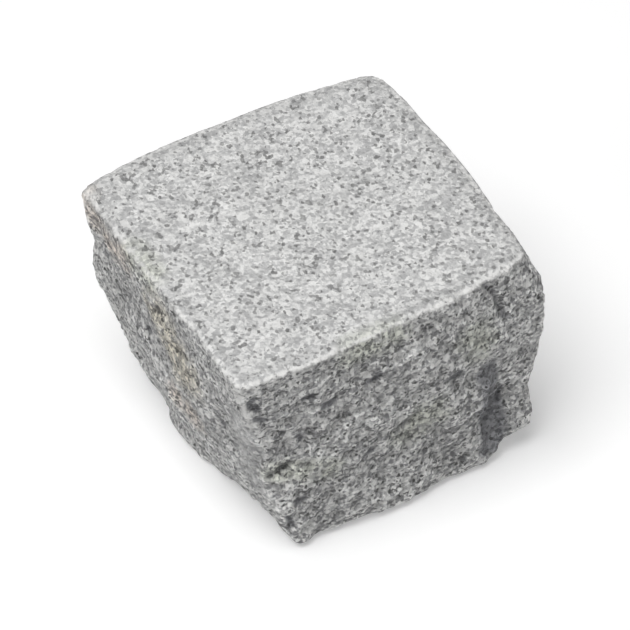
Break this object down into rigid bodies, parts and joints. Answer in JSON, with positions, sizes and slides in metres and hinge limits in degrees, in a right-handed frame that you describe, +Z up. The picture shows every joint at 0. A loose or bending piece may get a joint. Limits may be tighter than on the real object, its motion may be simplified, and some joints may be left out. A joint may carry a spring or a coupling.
{
  "type": "granite sett",
  "caption": "Roughly cubic grey granite paving sett with a flat dressed head, split leaning sides, a chipped foot and a crushed pale arris.",
  "frame": {"origin": "on the bedding plane, under the middle of the dressed head", "axes": "+X along the head's longer side, -Y towards the front face, +Z up through the head"},
  "size_m": [0.1075, 0.1022, 0.08],
  "materials": {
    "granite": "split sides, flat dressed head"
  },
  "bodies": {
    "root": {"granite_sett": "granite"}
  },
  "joints": []
}
